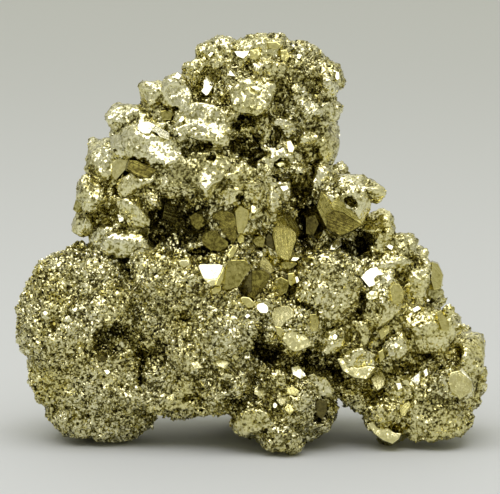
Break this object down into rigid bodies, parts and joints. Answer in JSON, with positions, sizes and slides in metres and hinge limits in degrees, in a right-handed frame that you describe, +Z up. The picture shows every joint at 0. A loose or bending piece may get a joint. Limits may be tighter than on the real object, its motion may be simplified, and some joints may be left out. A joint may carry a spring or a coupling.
{
  "type": "pyrite cluster",
  "caption": "Intergrown pyrite specimen: lumpy, finely crusted lobes with flat-faced brassy crystals and dark pockets, resting on its low lobes.",
  "frame": {"origin": "on the surface it rests on, below the middle of its bounding box", "axes": "+X to the right along its longest side, +Y away from the front that the picture shows, +Z up"},
  "size_m": [0.072, 0.0336, 0.0628],
  "materials": {
    "pyrite": "pale brassy metallic crust of fine crystal grains, with smooth striated faces on the larger crystals"
  },
  "bodies": {
    "root": {"pyrite_cluster": "pyrite"}
  },
  "joints": []
}
